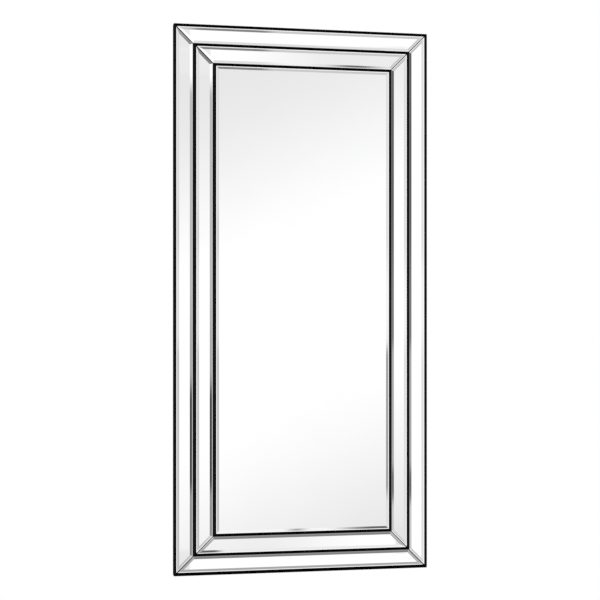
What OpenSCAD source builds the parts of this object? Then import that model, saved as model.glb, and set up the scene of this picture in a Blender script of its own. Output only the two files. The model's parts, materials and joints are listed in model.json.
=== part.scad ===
// Rectangular wall mirror with a stepped frame.
// Two rows of bevelled mirror strips, each row a step higher than the last, lead up to a
// bevelled centre mirror. A thin black lip stands round each row and round the centre.
// Frame: +Z up, the mirror faces -Y, and the wall is the plane y = 0.
// The origin is the middle of the mirror's outline, on the wall.

/* [Overall] */
// Height of the outline
frame_h = 1219; // [900:1:1800]
// Width of the outline
frame_w = 579; // [480:1:1000]
// Depth of the outer rail's side, from its back to the front of its lip
side_depth = 14; // [12:0.5:30]
// Radius of the frame's outer corners, seen from the front
corner_r = 2.5; // [0.5:0.1:4]
// Radius of the corners of the middle and inner lips
step_corner_r = 1.2; // [0.4:0.1:3]

/* [Steps] */
// Width of a row of mirror strips, from lip to lip
strip_w = 38.1; // [30:0.1:60]
// Width of each black lip
lip_w = 5.3; // [4:0.1:8]
// Rounding of the front edges of each lip
lip_r = 0.8; // [0.2:0.1:1.5]
// How far the middle lip stands in front of the outer one
first_step = 7.3; // [6.5:0.1:12]
// How far the inner lip stands in front of the middle one
second_step = 5.9; // [4:0.1:12]
// How far each lip stands in front of the flat of the mirror inside it
lip_proud = 0.5; // [0:0.1:1.5]

/* [Mirror glass] */
// Thickness of the mirror glass
glass_t = 4; // [3:0.5:5]
// Width of the bevel round each mirror
bevel_w = 7; // [4:0.5:10]
// Width of the bevel at the mitred ends of the strips
end_bevel_w = 6.5; // [4:0.5:10]
// How much thinner the glass is at its edge than in the flat
bevel_drop = 1.8; // [0.8:0.1:2.4]
// Gap between the glass and the lips
glass_gap = 0.3; // [0.1:0.05:0.8]
// How far a strip's mitred end stands back from the mitre, along the strip
mitre_gap = 0.3; // [0.15:0.05:0.8]
// Thickness of the foam tape that holds the glass
tape_t = 1; // [0.5:0.1:1.5]
// Width of the foam tape
tape_w = 25.4; // [12:0.1:28]
// Distance from a strip's short edge to the end of its tape
tape_end = 10; // [0:1:30]
// Rows of foam tape behind the centre mirror
centre_tapes = 7; // [3:1:12]
// Distance from the edge of the centre mirror to the ends of its tapes
centre_tape_end = 30; // [10:1:60]
// Thickness of the safety film on the back of the centre mirror
film_t = 0.2; // [0.1:0.05:0.4]

/* [Carrier frame] */
// How far the middle rails overlap the outer ones that carry them
rail_overlap = 36.6; // [33:0.1:45]
// How far the middle rails reach in past the inner lip, as a ledge for the centre board
ledge_w = 18; // [10:1:30]
// Width of the rebate that takes the back panel
rebate_w = 10; // [9:0.5:12]
// Thickness of the back panel
back_panel_t = 3; // [2.5:0.1:4]
// Clearance round the back panel and the centre board
board_gap = 0.4; // [0.2:0.1:1]
// Height of each cross batten
batten_h = 45; // [30:1:80]
// Distance from the middle of the mirror to the middle of each cross batten
batten_rise = 205; // [120:1:300]
// Distance from the end of a batten to its outer screws
batten_screw_end = 40; // [20:1:60]

/* [Wall fittings] */
// Thickness of the rubber wall bumpers
bumper_t = 6; // [5.8:0.1:10]
// Diameter of the rubber wall bumpers
bumper_d = 16; // [10:1:24]
// How much smaller in radius a bumper is at the wall than at the frame
bumper_taper = 1; // [0:0.5:2]
// Distance from the outline to the middle of each bumper
bumper_inset = 22; // [14:1:30]
// Distance from the top of the frame to the hinge line of the hangers
hanger_drop = 300; // [120:1:420]
// Distance from the outer edge of the middle stile to the middle of each hanger
hanger_offset = 14.6; // [10:0.2:16]
// Width of the hanger strap
strap_w = 14; // [12:0.5:16]
// Length of the hanger strap below the hinge line
strap_len = 30; // [28:1:40]
// Thickness of the strap steel
strap_t = 1; // [0.8:0.1:1.2]
// Diameter of the ring's wire
ring_wire_d = 2.5; // [2:0.1:3]
// Width of the ring between the middles of its two sides
ring_w = 24; // [22:0.5:26]
// Clearance between the ring's wire and the strap's curl
ring_gap = 0.3; // [0.2:0.05:0.4]

/* [Screws and nails] */
// Shank diameter of the frame screws
frame_screw_d = 3.5; // [3:0.1:4]
// How deep the frame screws bite into the middle rails
frame_screw_bite = 5.5; // [4:0.5:6]
// Distance from the outer edge of the middle rails to the line of frame screws
frame_screw_offset = 6.6; // [5:0.2:9]
// Frame screws along each stile
stile_screws = 5; // [3:2:7]
// Frame screws along the top and bottom rails
rail_screws = 3; // [1:1:4]
// Shank diameter of the back panel screws
panel_screw_d = 3; // [2.5:0.1:3.5]
// How deep the back panel screws bite into the wood behind the panel
panel_screw_bite = 4; // [3:0.5:5]
// Back panel screws along each stile
panel_stile_screws = 6; // [3:1:8]
// Back panel screws along the top and bottom rails
panel_rail_screws = 3; // [2:1:5]
// Shank diameter of the hanger screws
hanger_screw_d = 4; // [3:0.1:4.5]
// Length of the hanger screws
hanger_screw_len = 12; // [10:0.5:14]
// Clearance between a screw and the hole it stands in
screw_gap = 0.1; // [0.05:0.05:0.2]
// Length of each wing of a V-nail
v_nail_wing = 7; // [5:0.5:8]
// Angle between the wings of a V-nail
v_nail_angle = 110; // [80:5:120]
// Thickness of a V-nail
v_nail_t = 0.6; // [0.4:0.1:1]
// Depth to which a V-nail is driven
v_nail_depth = 5.5; // [4:0.5:6]

/* [Hidden] */
$fn = 48;
SIDES = ["bottom", "right", "top", "left"];

// A little more than nothing, for cutters that have to reach past a face
past = 1;

// Distances from the outline inwards
middle_lip_at = lip_w + strip_w;
inner_lip_at = 2 * middle_lip_at;
centre_at = inner_lip_at + lip_w;
middle_rail_end = centre_at + ledge_w;
outer_rail_end = middle_lip_at + rail_overlap;
rebate_at = outer_rail_end - rebate_w;

// Depths from the wall towards the room
back_at = bumper_t;
outer_front = back_at + side_depth;
outer_bed = outer_front - lip_proud - glass_t - tape_t;
middle_front = outer_front + first_step;
middle_bed = outer_bed + first_step;
inner_front = middle_front + second_step;
centre_bed = middle_bed + second_step;
centre_glass_back = inner_front - lip_proud - glass_t;
rebate_depth_at = back_at + back_panel_t;

// Screws: what follows from the pieces that they hold, and from their shanks
frame_screw_len = outer_bed - back_at + frame_screw_bite;
panel_screw_len = back_panel_t + panel_screw_bite;
countersink_h = frame_screw_d * 0.6;
recess_w = 0.8;
recess_share = 0.7;
tip_r = 0.2;
function pan_head_h(d) = 0.45 * d;
function pan_head_r(d) = 0.85 * d;

// The D-shaped ring, in its own plane
ring_wire_r = ring_wire_d / 2;
ring_corner_r = 3;
ring_side_r = ring_w / 2;
ring_bar = ring_side_r - ring_corner_r;
curl_in_r = ring_wire_r + ring_gap;
curl_r = curl_in_r + strap_t;
hinge_depth = back_at - curl_r;
hinge_z = frame_h / 2 - hanger_drop;
hanger_x = frame_w / 2 - middle_lip_at - hanger_offset;
// Screw places on the strap, below the hinge line: one inside the ring, one below it
ring_reach = ring_corner_r + ring_side_r + ring_wire_r;
upper_strap_screw = (curl_r + ring_reach - ring_wire_d) / 2;
lower_strap_screw = (ring_reach + strap_len) / 2;
strap_screws = [upper_strap_screw, lower_strap_screw];

function side_len(i) = i % 2 == 0 ? frame_w : frame_h;
function side_off(i) = i % 2 == 0 ? frame_h / 2 : frame_w / 2;
// Even places along a length: the middles of n equal parts of it
function spread(n, length) = [for (k = [0:n - 1]) length * ((k + 0.5) / n - 0.5)];

// Turns a plan (x across, y up, z depth from the wall) into the mirror's frame
module plan() {
    rotate([90, 0, 0]) children();
}

// One side of the frame: x runs along the side from its left end, y inwards, z from the wall
module side(i) {
    plan() rotate([0, 0, 90 * i]) translate([-side_len(i) / 2, -side_off(i), 0]) children();
}

// The ground that a side covers between its two mitres
module mitre_ground(i) {
    length = side_len(i);
    linear_extrude(inner_front + past)
        polygon([[0, 0], [length, 0], [length / 2, length / 2]]);
}

// Takes the sharp corner off both ends of a side whose outer edge is at the given distance
module corner_rounding(i, at, r) {
    for (end = [0, 1])
        translate([end * side_len(i), 0, 0]) mirror([end, 0, 0])
            translate([at, at, -past])
                linear_extrude(inner_front + 3 * past) difference() {
                    translate([-past, -past]) square(r + past);
                    translate([r, r]) circle(r);
                }
}

// A moulding of the given profile (distance inwards, depth) with mitred ends
module moulding(i, at, r) {
    difference() {
        intersection() {
            rotate([90, 0, 90]) linear_extrude(side_len(i)) children();
            mitre_ground(i);
        }
        corner_rounding(i, at, r);
    }
}

// Section of a lip from the depth low to the depth high, with its front edges rounded
module lip_section(at, low, high) {
    translate([at, low]) square([lip_w, high - low - lip_r]);
    translate([at + lip_r, low]) square([lip_w - 2 * lip_r, high - low]);
    for (x = [at + lip_r, at + lip_w - lip_r])
        translate([x, high - lip_r]) circle(lip_r);
}

module outer_section() {
    lip_section(0, back_at, outer_front);
    difference() {
        translate([0, back_at]) square([outer_rail_end, outer_bed - back_at]);
        translate([rebate_at, back_at - past]) square([rebate_w + past, back_panel_t + past]);
    }
}

module middle_section() {
    lip_section(middle_lip_at, outer_bed, middle_front);
    translate([middle_lip_at, outer_bed])
        square([middle_rail_end - middle_lip_at, middle_bed - outer_bed]);
}

module inner_section() {
    lip_section(inner_lip_at, middle_bed, inner_front);
}

// A V-nail across the mitre at the left end of a side, this far from the outline
module v_nail(inset, rear) {
    translate([inset, inset, rear]) linear_extrude(v_nail_depth)
        for (s = [-1, 1]) rotate(45 + s * v_nail_angle / 2)
            translate([-v_nail_t / 2, -v_nail_t / 2]) square([v_nail_wing, v_nail_t]);
}

// Two nails in each mitre: how far they stand from the edges of the wood that they join
nail_margin = 10;
outer_nail_places = [middle_lip_at - nail_margin / 2, rebate_at - nail_margin];
middle_nail_places = [middle_lip_at + nail_margin, middle_rail_end - nail_margin - v_nail_wing];

module outer_nails_at(i) {
    for (place = outer_nail_places) v_nail(place, back_at);
}

module middle_nails_at(i) {
    for (place = middle_nail_places) v_nail(place, outer_bed);
}

// Both ends of a side, each as its left end
module both_ends(i) {
    children();
    translate([side_len(i), 0, 0]) mirror([1, 0, 0]) children();
}

module cross_recess(width, depth) {
    for (turn = [0, 90]) rotate(turn)
        translate([-width / 2, -recess_w / 2, -past]) cube([width, recess_w, depth + past]);
}

// A countersunk screw driven along +z from the face z = 0
module countersunk_screw(d, length) {
    difference() {
        union() {
            cylinder(h = countersink_h, r1 = d, r2 = d / 2);
            cylinder(h = length - d, r = d / 2);
            translate([0, 0, length - d]) cylinder(h = d, r1 = d / 2, r2 = tip_r);
        }
        cross_recess(d, countersink_h * recess_share);
    }
}

module countersunk_hole(d, length) {
    translate([0, 0, -past]) cylinder(h = past, r = d + screw_gap);
    cylinder(h = countersink_h, r1 = d + screw_gap, r2 = d / 2 + screw_gap);
    cylinder(h = length + screw_gap, r = d / 2 + screw_gap);
}

// A pan head screw driven along +z, its head's seat on z = 0
module pan_screw(d, length) {
    head_h = pan_head_h(d);
    head_r = pan_head_r(d);
    difference() {
        union() {
            translate([0, 0, -head_h / 2]) cylinder(h = head_h / 2, r = head_r);
            translate([0, 0, -head_h]) cylinder(h = head_h / 2, r1 = d / 2, r2 = head_r);
            cylinder(h = length - d, r = d / 2);
            translate([0, 0, length - d]) cylinder(h = d, r1 = d / 2, r2 = tip_r);
        }
        translate([0, 0, -head_h]) cross_recess(d * recess_share, head_h * recess_share);
    }
}

module screw_hole(d, length) {
    translate([0, 0, -past]) cylinder(h = length + screw_gap + past, r = d / 2 + screw_gap);
}

// Places of the frame screws on a side, along its line
function frame_screw_spots(i) = [
    for (x = spread(i % 2 == 0 ? rail_screws : stile_screws, side_len(i)))
        [side_len(i) / 2 + x, middle_lip_at + frame_screw_offset]];

panel_screw_inset = rebate_at + rebate_w / 2;
function panel_screw_spots(i) = [
    for (x = spread(i % 2 == 0 ? panel_rail_screws : panel_stile_screws,
                    side_len(i) - 2 * panel_screw_inset))
        [side_len(i) / 2 + x, panel_screw_inset]];

module at_frame_screws(i) {
    for (p = frame_screw_spots(i)) translate([p.x, p.y, back_at]) children();
}

module at_panel_screws(i) {
    for (p = panel_screw_spots(i)) translate([p.x, p.y, back_at]) children();
}

// The four side modules of each tier, and what is cut out of them
module outer_side(i) {
    color("#17171a") difference() {
        side(i) difference() {
            moulding(i, 0, corner_r) outer_section();
            both_ends(i) outer_nails_at(i);
            at_frame_screws(i) countersunk_hole(frame_screw_d, frame_screw_len);
            at_panel_screws(i) screw_hole(panel_screw_d, panel_screw_len);
        }
        for (s = [-1, 1]) hanger_place(s) hanger_screw_holes();
    }
}

module middle_side(i) {
    color("#17171a") difference() {
        side(i) difference() {
            moulding(i, middle_lip_at, step_corner_r) middle_section();
            both_ends(i) middle_nails_at(i);
            at_frame_screws(i) countersunk_hole(frame_screw_d, frame_screw_len);
            at_panel_screws(i) screw_hole(panel_screw_d, panel_screw_len);
        }
        for (s = [-1, 1]) hanger_place(s) hanger_screw_holes();
    }
}

module inner_side(i) {
    color("#17171a") side(i) moulding(i, inner_lip_at, step_corner_r) inner_section();
}

// A glass plate of a convex outline (anticlockwise), bevelled along every edge to the given
// widths, all at one slope
module bevelled_plate(outline, widths) {
    difference() {
        linear_extrude(glass_t) polygon(outline);
        for (k = [0:len(outline) - 1])
            let (a = outline[k], b = outline[(k + 1) % len(outline)], run = b - a)
                translate([a.x, a.y, 0]) rotate([0, 0, atan2(run.y, run.x)])
                    bevel_cutter(norm(run), widths[k]);
    }
}

// What the bevel takes off along an edge on the x axis, running past both of its ends
module bevel_cutter(length, width) {
    slope = bevel_drop / bevel_w;
    translate([-2 * width, 0, 0]) rotate([90, 0, 90])
        linear_extrude(ceil(length) + 4 * width)
            polygon([[-width, glass_t - 2 * width * slope], [width, glass_t],
                     [width, glass_t + past], [-width, glass_t + past]]);
}

// A mirror strip between two lips, with its ends cut on the mitres
module mirror_strip(i, lip_at, bed) {
    length = side_len(i);
    low = lip_at + lip_w + glass_gap;
    high = lip_at + lip_w + strip_w - glass_gap;
    color("#dfe6ea") side(i) translate([0, 0, bed + tape_t])
        bevelled_plate([[low + mitre_gap, low], [length - low - mitre_gap, low],
                        [length - high - mitre_gap, high], [high + mitre_gap, high]],
                       [bevel_w, end_bevel_w, bevel_w, end_bevel_w]);
}

centre_w = frame_w - 2 * centre_at;
centre_h = frame_h - 2 * centre_at;

module centre_mirror() {
    w = centre_w - 2 * glass_gap;
    h = centre_h - 2 * glass_gap;
    color("#e6ecef") plan() translate([-w / 2, -h / 2, centre_glass_back])
        bevelled_plate([[0, 0], [w, 0], [w, h], [0, h]], [bevel_w, bevel_w, bevel_w, bevel_w]);
}

// A flat board of the given size, centred, between two depths
module board(w, h, low, high) {
    plan() translate([-w / 2, -h / 2, low]) cube([w, h, high - low]);
}

module safety_film() {
    w = centre_w - 2 * glass_gap;
    h = centre_h - 2 * glass_gap;
    color("#b9c0c4") board(w, h, centre_glass_back - film_t, centre_glass_back);
}

module centre_board() {
    color("#a98a63")
        board(centre_w - 2 * board_gap, centre_h - 2 * board_gap, middle_bed, centre_bed);
}

// The battens stand between the back panel and the centre board, inside the middle rails
batten_len = frame_w - 2 * middle_rail_end - 2 * board_gap;
batten_screw_x = batten_len / 2 - batten_screw_end;

module batten(s) {
    color("#c7a677") difference() {
        translate([0, 0, s * batten_rise])
            board(batten_len, batten_h, rebate_depth_at, middle_bed);
        at_batten_screws() screw_hole(panel_screw_d, panel_screw_len);
    }
}

module at_batten_screws() {
    for (x = [-1, 0, 1], s = [-1, 1])
        plan() translate([x * batten_screw_x, s * batten_rise, back_at]) children();
}

module back_panel() {
    w = frame_w - 2 * rebate_at - 2 * board_gap;
    h = frame_h - 2 * rebate_at - 2 * board_gap;
    color("#7d5a3c") difference() {
        board(w, h, back_at, rebate_depth_at);
        for (i = [0:3]) side(i) at_panel_screws(i) screw_hole(panel_screw_d, panel_screw_len);
        at_batten_screws() screw_hole(panel_screw_d, panel_screw_len);
    }
}

// Foam tape along the middle of a row of strips
module strip_tape(lip_at, bed) {
    middle = lip_at + lip_w + strip_w / 2;
    end = lip_at + lip_w + strip_w + tape_end;
    color("#e9e9e4") for (i = [0:3])
        side(i) translate([end, middle - tape_w / 2, bed])
            cube([side_len(i) - 2 * end, tape_w, tape_t]);
}

// Foam tape across the centre board
module centre_tape() {
    w = centre_w - 2 * centre_tape_end;
    color("#e9e9e4") for (z = spread(centre_tapes, centre_h))
        translate([0, 0, z]) board(w, tape_w, centre_bed, centre_glass_back - film_t);
}

// Puts a hanger's own frame in place: x across, y down the strap, z from the wall.
// The zero of y is the hinge line, and the zero of z is the wall.
module hanger_place(s) {
    translate([s * hanger_x, 0, hinge_z]) rotate([90, 0, 0]) mirror([0, 1, 0]) children();
}

module hanger_screw_holes() {
    for (y = strap_screws)
        translate([0, y, back_at - strap_t]) screw_hole(hanger_screw_d, hanger_screw_len);
}

module hanger_strap(s) {
    color("#b8bcc0") hanger_place(s) difference() {
        union() {
            translate([-strap_w / 2, 0, hinge_depth]) rotate([0, 90, 0])
                cylinder(h = strap_w, r = curl_r);
            translate([-strap_w / 2, 0, back_at - strap_t])
                cube([strap_w, strap_len - strap_w / 2, strap_t]);
            translate([0, strap_len - strap_w / 2, back_at - strap_t])
                cylinder(h = strap_t, r = strap_w / 2);
        }
        translate([-strap_w / 2 - past, 0, hinge_depth]) rotate([0, 90, 0])
            cylinder(h = strap_w + 2 * past, r = curl_in_r);
        hanger_screw_holes();
    }
}

// The ring hangs straight down from its bar, which turns in the strap's curl
module hanger_ring(s) {
    color("#b8bcc0") hanger_place(s) translate([0, 0, hinge_depth]) {
        translate([-ring_bar, 0, 0]) rotate([0, 90, 0]) cylinder(h = 2 * ring_bar, r = ring_wire_r);
        for (e = [-1, 1])
            translate([e * ring_bar, ring_corner_r, 0]) rotate(e > 0 ? -90 : 180)
                rotate_extrude(angle = 90) translate([ring_corner_r, 0]) circle(ring_wire_r);
        translate([0, ring_corner_r, 0]) rotate_extrude(angle = 180)
            translate([ring_side_r, 0]) circle(ring_wire_r);
    }
}

module hanger_screws() {
    color("#9a9ea2") for (s = [-1, 1]) hanger_place(s)
        for (y = strap_screws)
            translate([0, y, back_at - strap_t]) pan_screw(hanger_screw_d, hanger_screw_len);
}

module frame_screws() {
    color("#8d8a72") for (i = [0:3])
        side(i) at_frame_screws(i) countersunk_screw(frame_screw_d, frame_screw_len);
}

module back_panel_screws() {
    color("#2b2b2d") for (i = [0:3])
        side(i) at_panel_screws(i) pan_screw(panel_screw_d, panel_screw_len);
}

module batten_screws() {
    color("#2b2b2d") at_batten_screws() pan_screw(panel_screw_d, panel_screw_len);
}

module outer_v_nails() {
    color("#9a9ea2") for (i = [0:3]) side(i) outer_nails_at(i);
}

module middle_v_nails() {
    color("#9a9ea2") for (i = [0:3]) side(i) middle_nails_at(i);
}

// A round rubber bumper at the corner that the signs name, tapered towards the wall
module bumper(sx, sz) {
    x = sx * (frame_w / 2 - bumper_inset);
    z = sz * (frame_h / 2 - bumper_inset);
    color("#3a3a3c") plan() translate([x, z, 0])
        cylinder(h = bumper_t, r1 = bumper_d / 2 - bumper_taper, r2 = bumper_d / 2);
}

for (i = [0:3]) {
    member = i % 2 == 0 ? "rail_" : "stile_";
    outer_side(i);
    middle_side(i);
    inner_side(i);
    mirror_strip(i, 0, outer_bed);
    mirror_strip(i, middle_lip_at, middle_bed);
}
centre_mirror();
safety_film();
centre_board();
back_panel();
batten(1);  // cross_batten_upper
batten(-1);  // cross_batten_lower
strip_tape(0, outer_bed);  // outer_foam_tape
strip_tape(middle_lip_at, middle_bed);  // middle_foam_tape
centre_tape();  // centre_foam_tape
outer_v_nails();
middle_v_nails();
frame_screws();
back_panel_screws();
batten_screws();
hanger_screws();
hanger_strap(-1);  // hanger_strap_left
hanger_strap(1);  // hanger_strap_right
hanger_ring(-1);  // hanger_ring_left
hanger_ring(1);  // hanger_ring_right
bumper(-1, 1);  // bumper_top_left
bumper(1, 1);  // bumper_top_right
bumper(-1, -1);  // bumper_bottom_left
bumper(1, -1);  // bumper_bottom_right
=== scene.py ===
"""A tall wall mirror: stepped rows of bevelled mirror strips round a bevelled centre mirror."""

import json
import math
from collections import namedtuple

import bpy
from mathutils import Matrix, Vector


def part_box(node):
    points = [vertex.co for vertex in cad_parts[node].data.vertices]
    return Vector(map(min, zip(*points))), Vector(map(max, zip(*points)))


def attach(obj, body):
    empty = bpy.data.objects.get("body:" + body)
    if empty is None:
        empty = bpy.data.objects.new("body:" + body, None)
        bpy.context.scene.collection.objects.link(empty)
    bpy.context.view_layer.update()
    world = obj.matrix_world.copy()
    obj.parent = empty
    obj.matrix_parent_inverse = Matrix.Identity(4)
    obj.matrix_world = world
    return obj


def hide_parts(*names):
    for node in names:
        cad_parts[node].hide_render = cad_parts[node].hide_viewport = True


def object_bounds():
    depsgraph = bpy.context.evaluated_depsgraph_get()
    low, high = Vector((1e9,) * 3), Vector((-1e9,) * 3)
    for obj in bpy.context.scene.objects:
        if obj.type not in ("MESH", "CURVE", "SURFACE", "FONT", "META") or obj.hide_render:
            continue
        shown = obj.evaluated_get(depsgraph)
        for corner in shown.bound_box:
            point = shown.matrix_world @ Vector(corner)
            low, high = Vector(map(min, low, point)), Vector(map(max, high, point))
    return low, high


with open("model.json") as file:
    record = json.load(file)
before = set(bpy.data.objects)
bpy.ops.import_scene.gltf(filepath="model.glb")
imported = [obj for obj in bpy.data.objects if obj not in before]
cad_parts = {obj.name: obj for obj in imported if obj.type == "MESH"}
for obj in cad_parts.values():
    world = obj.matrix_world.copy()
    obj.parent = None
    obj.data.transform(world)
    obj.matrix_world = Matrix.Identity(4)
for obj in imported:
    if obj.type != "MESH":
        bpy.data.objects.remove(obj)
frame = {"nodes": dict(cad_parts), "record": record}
CAD_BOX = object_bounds()
NODES = frame["nodes"]

# Camera: where the photograph was taken from, as an upright camera with its lens shifted up
CAMERA_TURN = math.radians(10.843)
CAMERA_X = -0.5605
CAMERA_Z = -0.061
CAMERA_DISTANCE = 2.8956
FOCAL_PX = 1314.5
SENSOR_MM = 36
IMAGE_PX = 600
LENS_RISE_PX = 27.45
CLIP_START = 0.05

# Mirror glass, in metres. The silver lies flat behind bevelled glass, which bends what is
# seen in a bevel away from the edge. A facet that leans inwards shows the same thing.
BEVEL_W = 0.007
END_BEVEL_W = 0.0065
EDGE_BAND_W = 0.0023
ARRIS_W = 0.0008
BEVEL_SLOPE = math.radians(12.5)
EDGE_BAND_SLOPE = math.radians(6.25)
# Material slots of a plate, and how many of its levels from the back are ground edge
SILVER, GROUND_EDGE, BACKING = range(3)
EDGE_LEVELS = 2

# The lowest strip stands this far clear of its lip, so more of the black bed shows under it.
LOWEST_STRIP_GAP = 0.0011

SIDES = ("bottom", "right", "top", "left")
# Upright pieces get a paler black than the level ones: a painted sheen for the light they catch
# from the sides.
UPRIGHTS = ("stile", "bead_left", "bead_right")

# Studio: what the mirrors see, by direction from the mirror, in degrees.
# Azimuth 0 is straight out from the mirror, plus to its right as seen from the front.
# Each card covers the ones before it. Its edges fade over its two soft widths.
# A card with a tilt rises by that share of the azimuth past TILT_CENTRE.
WHITE = 1.05
TILT_CENTRE = 11.0
Card = namedtuple("Card", "name azimuth elevation soft value tilt", defaults=(0.0,))
STUDIO = [
    Card("front", (-100, 100), (-91, 91), (14, 1), WHITE),
    Card("side of the room, left", (-95, -27), (-91, 91), (5, 1), 0.66),
    Card("side of the room, right", (50, 95), (-91, 91), (5, 1), 0.62),
    Card("light panel, left", (-66, -46), (-38, 50), (4, 6), 1.0),
    Card("light panel, right", (62, 80), (-38, 50), (4, 6), 1.0),
    Card("high ceiling", (-100, 100), (48, 91), (8, 5), 0.80),
    Card("low floor", (-100, 100), (-91, -42), (8, 4), 0.58),
    Card("upper wall", (3.9, 15.5), (7.9, 30), (0.15, 4.8), 0.829, 0.41),
    Card("upper band", (3.9, 17.4), (12.0, 13.4), (0.15, 0.1), WHITE),
    Card("upper band left", (3.9, 10.5), (11.15, 12.0), (3, 0.1), WHITE),
    Card("upper left corner", (5.3, 6.95), (10.9, 12.0), (0.05, 0.2), 0.86),
    Card("upper left tip", (5.3, 6.05), (11.95, 13.3), (0.05, 0.1), 0.84),
    Card("lower wall", (3.9, 15.5), (-30, -7.8), (0.15, 6.0), 0.778, 0.41),
    Card("lower band", (3.9, 17.4), (-11.1, -9.7), (0.15, 0.1), WHITE),
    Card("lower band right", (11.5, 17.4), (-9.7, -8.8), (3, 0.1), WHITE),
    Card("lower left corner", (5.3, 6.05), (-10.6, -9.6), (0.05, 0.15), 0.84),
    Card("lower right corner", (15.0, 15.4), (-9.7, -8.6), (0.05, 0.1), 0.81),
    Card("floor edge", (5.2, 18), (-15, -11.1), (0.3, 0.3), 0.60),
    Card("floor edge dark", (6.2, 9.5), (-15, -11.1), (0.4, 0.3), 0.235),
    Card("cornice", (5.2, 18), (13.4, 14.62), (0.3, 0.12), 0.41),
    Card("frieze", (5.2, 18), (14.62, 15.45), (0.3, 0.12), 0.86),
    Card("frieze end", (5.2, 7.5), (14.62, 15.45), (0.3, 0.12), 0.13),
    Card("ceiling edge", (5.2, 18), (15.45, 18), (0.3, 0.12), 0.95),
    Card("ceiling edge seam", (10.7, 11.3), (15.45, 18), (0.4, 0.12), 0.38),
    Card("ceiling edge end", (13.3, 18), (15.45, 18), (1.1, 0.12), 0.13),
    Card("right wall", (29.4, 36.5), (-14, 16), (0.5, 1), 0.74),
    Card("right wall seam", (29.4, 32.8), (3.2, 5.0), (0.5, 0.8), 0.64),
    Card("right wall corner", (33, 36.5), (5, 10), (0.3, 0.8), 0.63),
    Card("right wall foot", (29.4, 35), (-14, -0.8), (0.5, 0.6), 0.54),
    Card("right wall edge", (26.3, 29.2), (-14, 16), (0.4, 1), 0.32),
    Card("left wall", (-22, -14.5), (-14, 10.4), (0.5, 0.5), 0.50),
    Card("left wall lower", (-22, -14.5), (-14, 0.4), (0.5, 1.8), 0.40),
    Card("camera stand", (-22, -14.5), (-7.2, -2.5), (0.5, 0.7), 0.05),
    Card("left wall foot", (-22, -14.5), (-14, -7.3), (0.5, 0.5), 0.28),
    Card("left screen", (-13.8, -7.6), (-14, 16), (0.3, 1), 0.76),
    Card("left screen glow", (-13.8, -7.6), (-0.7, 2.8), (0.3, 1.2), 0.92),
    Card("left screen foot", (-13.8, -10.0), (-7.2, -0.9), (0.25, 0.4), 0.36),
    Card("left screen corner", (-14.4, -11.3), (-8.8, -6.5), (0.2, 0.3), 0.24),
    Card("left screen head", (-13.8, -10.8), (6, 10), (0.25, 1), 0.56),
    Card("left screen edge", (-7.5, -4.3), (-14, 10.4), (0.3, 1), 0.62),
    Card("left screen stand", (-4.8, -3.8), (1.3, 3.4), (0.15, 0.15), 0.30),
    Card("left screen clamp", (-3.8, -2.7), (1.15, 2.2), (0.15, 0.12), 0.18),
    Card("far right", (37, 44), (-14, 16), (0.5, 1), 0.11),
    Card("far right lower", (37, 44), (-14, 3.2), (0.5, 2.2), 0.20),
    Card("far right foot", (37, 44), (-14, -0.8), (0.5, 0.5), 0.42),
    Card("far right spot", (37, 44), (-7.4, -6.1), (0.5, 0.4), 0.16),
    Card("far right floor", (37, 44), (-14, -7.6), (0.5, 0.3), 0.60),
    Card("ceiling", (5, 21), (32, 41), (1, 1), 0.76),
    Card("ceiling light", (11.6, 13.9), (33, 36.05), (1, 0.12), 0.94),
    Card("ceiling dark", (15.1, 16.9), (33, 35.85), (0.8, 0.12), 0.16),
    Card("ceiling left", (-5, 2), (26, 33), (1, 1), 0.62),
    Card("floor", (5, 21), (-38, -31), (1, 1), 0.235),
    Card("floor middle", (5, 21), (-26, -19), (1, 1), 0.35),
    Card("floor left", (-5, 2), (-31, -23), (1, 1), 0.46),
    Card("floor right", (22, 29), (-31, -23), (1, 1), 0.42),
]
# What a mirror would see behind itself, what lights the part, and what the camera sees
BEHIND = 0.30
FILL_LIGHT = 0.76
CLEAR_WHITE = 1.0
DEGREES = 180 / math.pi

# Floor and lamps, in metres and watts
FLOOR_RADIUS = 2.3
FLOOR_FADE_START = 0.9
FLOOR_DROP = 0.60
FLOOR_CORNERS = 96
Lamp = namedtuple("Lamp", "name place size energy")
LAMPS = [
    Lamp("key", (-2.6, -2.0, 2.3), 1.6, 26),
    Lamp("back_light", (1.9, 2.3, 3.0), 1.2, 30),
]


def rgb(r, g, b):
    return (r, g, b, 1.0)


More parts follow.
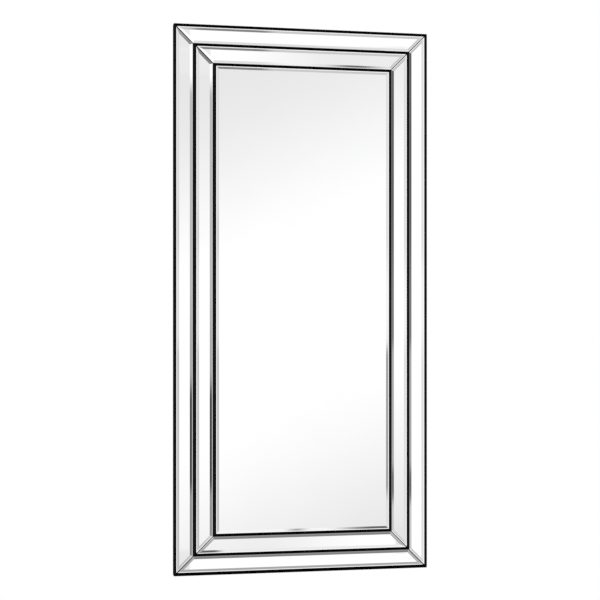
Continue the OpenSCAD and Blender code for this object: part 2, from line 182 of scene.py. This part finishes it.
# Two tones for each material in linear light, mixed by its noise
TONES = {
    "black_lacquer": (rgb(0.0012, 0.0012, 0.0015), rgb(0.0024, 0.0024, 0.0029)),
    # Upright pieces: a paler black, painted sheen for the light they catch from the sides
    "upright_lacquer_painted_sheen": (rgb(0.0078, 0.0078, 0.0100), rgb(0.0112, 0.0110, 0.0138)),
    # Side faces of the lacquer: a paler black, painted sheen for the light the sides catch
    "lacquer_sides_painted_sheen": (rgb(0.0075, 0.0078, 0.0092), rgb(0.011, 0.0113, 0.013)),
    "bare_fibre": (rgb(0.050, 0.040, 0.032), rgb(0.115, 0.088, 0.064)),
    "silver": (rgb(0.958, 0.961, 0.960), rgb(0.970, 0.972, 0.971)),
    # Ground glass edge: near black, painted shade of the joints over the edge's own green grey
    "ground_edge_and_shade": (rgb(0.006, 0.009, 0.008), rgb(0.014, 0.019, 0.017)),
    "backing": (rgb(0.17, 0.18, 0.19), rgb(0.24, 0.25, 0.26)),
    "fibre_board": (rgb(0.27, 0.18, 0.11), rgb(0.46, 0.33, 0.21)),
    "hardboard": (rgb(0.125, 0.072, 0.040), rgb(0.27, 0.165, 0.092)),
    "softwood": (rgb(0.62, 0.43, 0.24), rgb(0.42, 0.25, 0.12)),
    "black_screw": (rgb(0.012, 0.012, 0.012), rgb(0.035, 0.034, 0.033)),
    "bumper_rubber": (rgb(0.028, 0.028, 0.030), rgb(0.060, 0.060, 0.062)),
    "foam_tape": (rgb(0.60, 0.60, 0.57), rgb(0.84, 0.84, 0.80)),
    "safety_film": (rgb(0.48, 0.53, 0.56), rgb(0.55, 0.60, 0.63)),
    "floor": (rgb(0.93, 0.93, 0.93), rgb(0.95, 0.95, 0.95)),
}
BACK_SPRAY = rgb(0.020, 0.019, 0.018)
STEEL = rgb(0.66, 0.67, 0.68)
NAIL_STEEL = rgb(0.50, 0.51, 0.53)
YELLOW_STEEL = rgb(0.66, 0.62, 0.50)
DULL_SHARE = 0.72
CLOUDY = (0.35, 0.7)


def set_camera():
    """An upright camera at the photograph's place, with its lens shifted up."""
    data = bpy.data.cameras.new("camera")
    camera = bpy.data.objects.new("camera", data)
    bpy.context.scene.collection.objects.link(camera)
    lip_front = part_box("outer_stile_left")[0].y
    camera.location = (CAMERA_X, lip_front - CAMERA_DISTANCE, CAMERA_Z)
    camera.rotation_euler = (math.pi / 2, 0, -CAMERA_TURN)
    data.sensor_width = SENSOR_MM
    data.lens = FOCAL_PX / IMAGE_PX * SENSOR_MM
    data.shift_y = LENS_RISE_PX / IMAGE_PX
    data.clip_start = CLIP_START
    bpy.context.scene.camera = camera


class Tree:
    """A node tree that adds nodes and links them in one call."""

    def __init__(self, tree):
        self.tree = tree
        self.tree.nodes.clear()

    def add(self, kind, settings=None, **inputs):
        node = self.tree.nodes.new(kind)
        for name, value in (settings or {}).items():
            setattr(node, name, value)
        for name, value in inputs.items():
            self.feed(node.inputs[name.replace("_", " ")], value)
        return node

    def feed(self, socket, value):
        if isinstance(value, bpy.types.NodeSocket):
            self.tree.links.new(value, socket)
        else:
            socket.default_value = value

    def math(self, operation, a, b=0.0):
        node = self.add("ShaderNodeMath", {"operation": operation})
        self.feed(node.inputs[0], a)
        self.feed(node.inputs[1], b)
        return node.outputs[0]

    def ramp(self, value, low, high, start=0.0, end=1.0):
        smooth = {"interpolation_type": "SMOOTHSTEP"}
        node = self.add("ShaderNodeMapRange", smooth, Value=value, From_Min=low, From_Max=high,
                        To_Min=start, To_Max=end)
        return node.outputs[0]

    def window(self, value, span, soft):
        rise = self.ramp(value, span[0] - soft, span[0] + soft)
        fall = self.ramp(value, span[1] - soft, span[1] + soft, 1.0, 0.0)
        return self.math("MULTIPLY", rise, fall)

    def mix_sockets(self, data_type, factor, a, b, places):
        node = self.add("ShaderNodeMix", {"data_type": data_type})
        self.feed(node.inputs[0], factor)
        self.feed(node.inputs[places[0]], a)
        self.feed(node.inputs[places[1]], b)
        return node.outputs[places[2]]

    def mix(self, factor, a, b):
        """Two colours mixed by a factor."""
        return self.mix_sockets("RGBA", factor, a, b, (6, 7, 2))

    def blend(self, factor, a, b):
        """Two plain values mixed by a factor."""
        return self.mix_sockets("FLOAT", factor, a, b, (2, 3, 0))

    def place(self):
        return self.add("ShaderNodeTexCoord").outputs["Object"]

    def stretched(self, scale):
        return self.add("ShaderNodeMapping", Vector=self.place(), Scale=scale).outputs[0]

    def noise(self, where, scale, detail, rough=0.55):
        return self.add("ShaderNodeTexNoise", Vector=where, Scale=scale, Detail=detail,
                        Roughness=rough).outputs["Fac"]

    def bump(self, height, strength, distance):
        return self.add("ShaderNodeBump", Height=height, Strength=strength,
                        Distance=distance).outputs[0]

    def surface(self, shader):
        out = self.add("ShaderNodeOutputMaterial")
        self.tree.links.new(shader.outputs[0], out.inputs["Surface"])


def new_material(name):
    material = bpy.data.materials.new(name)
    material.use_nodes = True
    return material, Tree(material.node_tree)


def lacquer_material(name):
    """Satin black lacquer in front and on the sides, where a painted sheen makes it a paler black,
    thin over bare fibre board on the back.
    """
    material, t = new_material(name)
    place = t.place()
    speckle = t.noise(place, 900, 3)
    cloud = t.noise(place, 14, 4)
    black = t.mix(t.ramp(cloud, *CLOUDY), *TONES[name])
    # Painted sheen: the side faces get a paler black than the fronts
    edge = t.mix(t.ramp(cloud, *CLOUDY), *TONES["lacquer_sides_painted_sheen"])
    normal = t.add("ShaderNodeNewGeometry").outputs["Normal"]
    facing = t.add("ShaderNodeSeparateXYZ", Vector=normal).outputs[1]
    side_sheen_share = t.ramp(t.math("ABSOLUTE", facing), 0.95, 0.3)
    lacquer = t.mix(side_sheen_share, black, edge)
    fibre = t.mix(t.ramp(speckle, 0.3, 0.75), *TONES["bare_fibre"])
    thin = t.ramp(t.math("ADD", cloud, t.math("MULTIPLY", speckle, 0.3)), 0.45, 0.95, 0.45, 0.9)
    back = t.mix(thin, fibre, BACK_SPRAY)
    bare = t.ramp(facing, 0.75, 0.9)
    colour = t.mix(bare, lacquer, back)
    orange_peel = t.noise(place, 420, 2)
    rough = t.blend(bare, t.ramp(cloud, 0.3, 0.7, 0.34, 0.42), 0.85)
    shader = t.add("ShaderNodeBsdfPrincipled", Base_Color=colour, Roughness=rough,
                   Specular_IOR_Level=0.0, Normal=t.bump(orange_peel, 0.04, 0.0001))
    t.surface(shader)
    return material


def silver_material():
    """Silvered glass seen from the front: near perfect, with the faintest haze."""
    material, t = new_material("silvered_glass")
    haze = t.noise(t.place(), 9, 5, 0.6)
    tint = t.mix(t.ramp(haze, 0.3, 0.75), *TONES["silver"])
    rough = t.ramp(haze, 0.45, 0.85, 0.0, 0.012)
    shader = t.add("ShaderNodeBsdfPrincipled", Base_Color=tint, Metallic=1.0, Roughness=rough)
    t.surface(shader)
    return material


def ground_edge_material():
    """The seamed edge of the glass: fine ground and green grey, with painted shade making it near
    black where it lies in the joints.
    """
    material, t = new_material("ground_glass_edge_and_shade")
    grain = t.noise(t.place(), 700, 2)
    tint = t.mix(grain, *TONES["ground_edge_and_shade"])
    shader = t.add("ShaderNodeBsdfPrincipled", Base_Color=tint, Roughness=0.6,
                   Specular_IOR_Level=0.0, Normal=t.bump(grain, 0.1, 0.0001))
    t.surface(shader)
    return material


def backing_material():
    """Grey protective paint over the silver."""
    material, t = new_material("mirror_backing_paint")
    cloud = t.noise(t.place(), 30, 4)
    tint = t.mix(cloud, *TONES["backing"])
    shader = t.add("ShaderNodeBsdfPrincipled", Base_Color=tint, Roughness=0.6,
                   Normal=t.bump(t.noise(t.place(), 600, 2), 0.15, 0.0002))
    t.surface(shader)
    return material


def board_material(name, grain):
    """Pressed wood fibre: fine flecks over slow changes of tone."""
    material, t = new_material(name)
    dark, light = TONES[name]
    flecks = t.noise(t.place(), grain, 6, 0.7)
    tone = t.noise(t.place(), 6, 3)
    strands = t.noise(t.stretched((1.0, 1.0, 0.22)), grain * 0.5, 3, 0.7)
    mixed = t.math("ADD", t.math("MULTIPLY", flecks, 0.6), t.math("MULTIPLY", strands, 0.4))
    colour = t.mix(t.ramp(mixed, 0.38, 0.64), dark, light)
    shaded = t.mix(t.ramp(tone, 0.3, 0.7, 0.0, 0.35), colour, dark)
    shader = t.add("ShaderNodeBsdfPrincipled", Base_Color=shaded,
                   Roughness=t.ramp(flecks, 0.3, 0.7, 0.62, 0.82), Specular_IOR_Level=0.35,
                   Normal=t.bump(mixed, 0.35, 0.0003))
    t.surface(shader)
    return material


def softwood_material():
    """Planed softwood with its grain along the batten."""
    material, t = new_material("softwood")
    rings = t.noise(t.stretched((1.0, 12.0, 12.0)), 8, 5, 0.6)
    colour = t.mix(t.ramp(rings, 0.35, 0.65), *TONES["softwood"])
    shader = t.add("ShaderNodeBsdfPrincipled", Base_Color=colour, Roughness=0.7,
                   Normal=t.bump(rings, 0.2, 0.0003))
    t.surface(shader)
    return material


def metal_material(name, tint, rough, stretch):
    """Plated steel with fine brushing and a few dull patches."""
    material, t = new_material(name)
    brushing = t.noise(t.stretched(stretch), 1200, 3, 0.7)
    patches = t.noise(t.place(), 70, 3)
    dull = rgb(*(DULL_SHARE * c for c in tint[:3]))
    colour = t.mix(t.ramp(patches, 0.35, 0.75, 0.0, 0.6), tint, dull)
    gloss = t.math("ADD", t.ramp(brushing, 0.3, 0.7, rough - 0.06, rough + 0.06),
                   t.ramp(patches, 0.4, 0.8, 0.0, 0.12))
    shader = t.add("ShaderNodeBsdfPrincipled", Base_Color=colour, Metallic=1.0, Roughness=gloss,
                   Normal=t.bump(brushing, 0.12, 0.00005))
    t.surface(shader)
    return material


def rough_material(name, grain, rough, depth):
    """A matt material with a fine grain: rubber, foam, paint or film."""
    material, t = new_material(name)
    fleck = t.noise(t.place(), grain, 3, 0.6)
    colour = t.mix(t.ramp(fleck, 0.3, 0.7), *TONES[name])
    shader = t.add("ShaderNodeBsdfPrincipled", Base_Color=colour, Roughness=rough,
                   Specular_IOR_Level=0.35, Normal=t.bump(fleck, 0.3, depth))
    t.surface(shader)
    return material


def make_materials():
    """Every material by its name, which is that of its slot in the record where it has one."""
    return {
        "black_lacquer": lacquer_material("black_lacquer"),
        "upright_lacquer_painted_sheen": lacquer_material("upright_lacquer_painted_sheen"),
        "silver": silver_material(),
        "ground_edge_and_shade": ground_edge_material(),
        "backing": backing_material(),
        "fibre_board": board_material("fibre_board", 700),
        "hardboard": board_material("hardboard", 900),
        "softwood": softwood_material(),
        "nail_steel": metal_material("nail_steel", NAIL_STEEL, 0.40, (1, 1, 20)),
        "screw_steel": metal_material("screw_steel", YELLOW_STEEL, 0.32, (1, 8, 8)),
        "hanger_steel": metal_material("hanger_steel", STEEL, 0.28, (14, 1, 1)),
        "ring_steel": metal_material("ring_steel", STEEL, 0.22, (6, 6, 1)),
        "black_screw": rough_material("black_screw", 900, 0.42, 0.00005),
        "bumper_rubber": rough_material("bumper_rubber", 1500, 0.75, 0.0001),
        "foam_tape": rough_material("foam_tape", 1200, 0.9, 0.0003),
        "safety_film": rough_material("safety_film", 300, 0.35, 0.00005),
    }


def paint_nodes(materials):
    """Each node gets its slot's material. The mirrors' slots have none, as plates replace them."""
    slot_of = {s["node"]: s["material_slot"] for s in frame["record"]["subparts"]}
    for name, obj in NODES.items():
        slot = slot_of[name]
        # Upright pieces take the paler black with its painted sheen instead of their slot's
        # lacquer
        if slot == "black_lacquer" and any(word in name for word in UPRIGHTS):
            slot = "upright_lacquer_painted_sheen"
        material = materials.get(slot)
        if material is None:
            continue
        obj.data.materials.clear()
        obj.data.materials.append(material)


def inset(outline, distances):
    """The outline with each edge moved inwards by its own distance."""
    count = len(outline)
    lines = []
    for k, start in enumerate(outline):
        along = (outline[(k + 1) % count] - start).normalized()
        inwards = Vector((-along.y, along.x))
        lines.append((start + inwards * distances[k], along))
    points = []
    for k in range(count):
        p, u = lines[k - 1]
        q, v = lines[k]
        reach = (q - p).cross(v) / u.cross(v)
        points.append(p + u * reach)
    return points


def strip_outline(low, high, side):
    """The four corners of a mitred strip, its long edge first, anticlockwise from the front."""
    wide, tall = high.x - low.x, high.z - low.z
    w = min(wide, tall)
    corners = {
        "bottom": ((low.x, low.z), (high.x, low.z), (high.x - w, high.z), (low.x + w, high.z)),
        "right": ((high.x, low.z), (high.x, high.z), (low.x, high.z - w), (low.x, low.z + w)),
        "top": ((high.x, high.z), (low.x, high.z), (low.x + w, low.z), (high.x - w, low.z)),
        "left": ((low.x, high.z), (low.x, low.z), (high.x, low.z + w), (high.x, high.z - w)),
    }
    return [Vector(c) for c in corners[side]]


def glass_rings(outline, bevels, front, back):
    """Rings of corners with their depths, from the back round the edge to the flat."""
    band_fall = (EDGE_BAND_W - ARRIS_W) * math.tan(EDGE_BAND_SLOPE)
    bevel_fall = (BEVEL_W - EDGE_BAND_W) * math.tan(BEVEL_SLOPE)
    return [
        (outline, back),
        (outline, front + ARRIS_W),
        (inset(outline, [ARRIS_W] * len(outline)), front),
        (inset(outline, [EDGE_BAND_W * b / BEVEL_W for b in bevels]), front + band_fall),
        (inset(outline, bevels), front + band_fall + bevel_fall),
    ]


def ring_faces(count, levels):
    """Faces between stacked rings of corners, closed at both ends, and the slot of each."""
    faces = [tuple(range(count - 1, -1, -1))]
    slots = [BACKING]
    for level in range(levels - 1):
        slot = GROUND_EDGE if level < EDGE_LEVELS else SILVER
        for k in range(count):
            a = level * count + k
            b = level * count + (k + 1) % count
            faces.append((a, b, b + count, a + count))
            slots.append(slot)
    faces.append(tuple((levels - 1) * count + k for k in range(count)))
    slots.append(SILVER)
    return faces, slots


def bevelled_glass(name, node, outline, bevels, materials):
    """A silvered plate in a node's place: a flat, a wide bevel and a narrow one at the edge."""
    low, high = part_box(node)
    rings = glass_rings(outline, bevels, low.y, high.y)
    verts = [(p.x, y, p.y) for ring, y in rings for p in ring]
    faces, slots = ring_faces(len(outline), len(rings))
    mesh = bpy.data.meshes.new(name)
    mesh.from_pydata(verts, [], faces)
    for face, slot in zip(mesh.polygons, slots):
        face.material_index = slot
        face.use_smooth = False
    for key in ("silver", "ground_edge_and_shade", "backing"):
        mesh.materials.append(materials[key])
    mesh.update()
    plate = bpy.data.objects.new(name, mesh)
    bpy.context.scene.collection.objects.link(plate)
    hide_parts(node)
    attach(plate, "root")
    return plate


def make_mirrors(materials):
    """The eight mitred strips and the centre mirror."""
    for row in ("outer", "middle"):
        for side in SIDES:
            node = f"{row}_mirror_{side}"
            outline = strip_outline(*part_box(node), side)
            if node == "outer_mirror_bottom":
                outline = inset(outline, [LOWEST_STRIP_GAP, 0, 0, 0])
            bevels = [BEVEL_W, END_BEVEL_W, BEVEL_W, END_BEVEL_W]
            plate = bevelled_glass(f"{node}_glass", node, outline, bevels, materials)
    low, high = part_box("centre_mirror")
    outline = [Vector(c) for c in ((low.x, low.z), (high.x, low.z),
                                   (high.x, high.z), (low.x, high.z))]
    plate = bevelled_glass("centre_mirror_glass", "centre_mirror", outline, [BEVEL_W] * 4,
                           materials)


def studio_light(t):
    """What a reflection finds in its direction: the studio's cards, one over the other."""
    direction = t.add("ShaderNodeTexCoord").outputs["Generated"]
    x, y, z = t.add("ShaderNodeSeparateXYZ", Vector=direction).outputs
    azimuth = t.math("MULTIPLY", t.math("ARCTAN2", x, t.math("MULTIPLY", y, -1.0)), DEGREES)
    elevation = t.math("MULTIPLY", t.math("ARCSINE", z), DEGREES)
    off_centre = t.math("SUBTRACT", azimuth, TILT_CENTRE)
    seen = BEHIND
    for card in STUDIO:
        height = elevation
        if card.tilt:
            height = t.math("SUBTRACT", elevation, t.math("MULTIPLY", off_centre, card.tilt))
        share = t.math("MULTIPLY", t.window(azimuth, card.azimuth, card.soft[0]),
                       t.window(height, card.elevation, card.soft[1]))
        seen = t.blend(share, seen, card.value)
    return seen


def make_world():
    """White all round for the camera and for lighting; the studio's cards for reflections."""
    world = bpy.data.worlds.new("studio")
    bpy.context.scene.world = world
    world.use_nodes = True
    t = Tree(world.node_tree)
    seen = studio_light(t)
    path = t.add("ShaderNodeLightPath").outputs
    strength = t.blend(path["Is Glossy Ray"], FILL_LIGHT, seen)
    clear = t.math("MAXIMUM", path["Is Camera Ray"], path["Is Transmission Ray"])
    strength = t.blend(clear, strength, CLEAR_WHITE)
    shader = t.add("ShaderNodeBackground", Color=rgb(1, 1, 1), Strength=strength)
    out = t.add("ShaderNodeOutputWorld")
    t.tree.links.new(shader.outputs[0], out.inputs["Surface"])


def floor_material():
    """Pale and matt, fading out towards the rim, and clear from underneath."""
    material, t = new_material("floor")
    place = t.place()
    colour = t.mix(t.noise(place, 3, 2), *TONES["floor"])
    radius = t.add("ShaderNodeVectorMath", {"operation": "LENGTH"})
    t.feed(radius.inputs[0], place)
    faded = t.ramp(radius.outputs["Value"], FLOOR_FADE_START, FLOOR_RADIUS)
    under = t.add("ShaderNodeNewGeometry").outputs["Backfacing"]
    mixed = t.add("ShaderNodeMixShader", Fac=t.math("MAXIMUM", faded, under))
    t.feed(mixed.inputs[1], t.add("ShaderNodeBsdfDiffuse", Color=colour).outputs[0])
    t.feed(mixed.inputs[2], t.add("ShaderNodeBsdfTransparent").outputs[0])
    t.surface(mixed)
    return material


def make_floor():
    """A plain pale floor well below the mirror, which reflections don't see."""
    lowest = CAD_BOX[0][2]
    bpy.ops.mesh.primitive_circle_add(vertices=FLOOR_CORNERS, radius=FLOOR_RADIUS,
                                      fill_type="NGON", location=(0, 0, lowest - FLOOR_DROP))
    floor = bpy.context.object
    floor.name = "floor"
    floor.data.materials.append(floor_material())
    floor.visible_glossy = False


def make_lamps():
    """Soft round lamps aimed at the middle of the mirror."""
    for lamp in LAMPS:
        data = bpy.data.lights.new(lamp.name, "AREA")
        data.shape = "DISK"
        data.size = lamp.size
        data.energy = lamp.energy
        obj = bpy.data.objects.new(lamp.name, data)
        bpy.context.scene.collection.objects.link(obj)
        obj.location = lamp.place
        obj.rotation_euler = (-obj.location).to_track_quat("-Z", "Y").to_euler()


def main():
    set_camera()
    bpy.context.scene.view_settings.view_transform = "Standard"
    materials = make_materials()
    paint_nodes(materials)
    make_mirrors(materials)
    make_world()
    make_floor()
    make_lamps()


main()
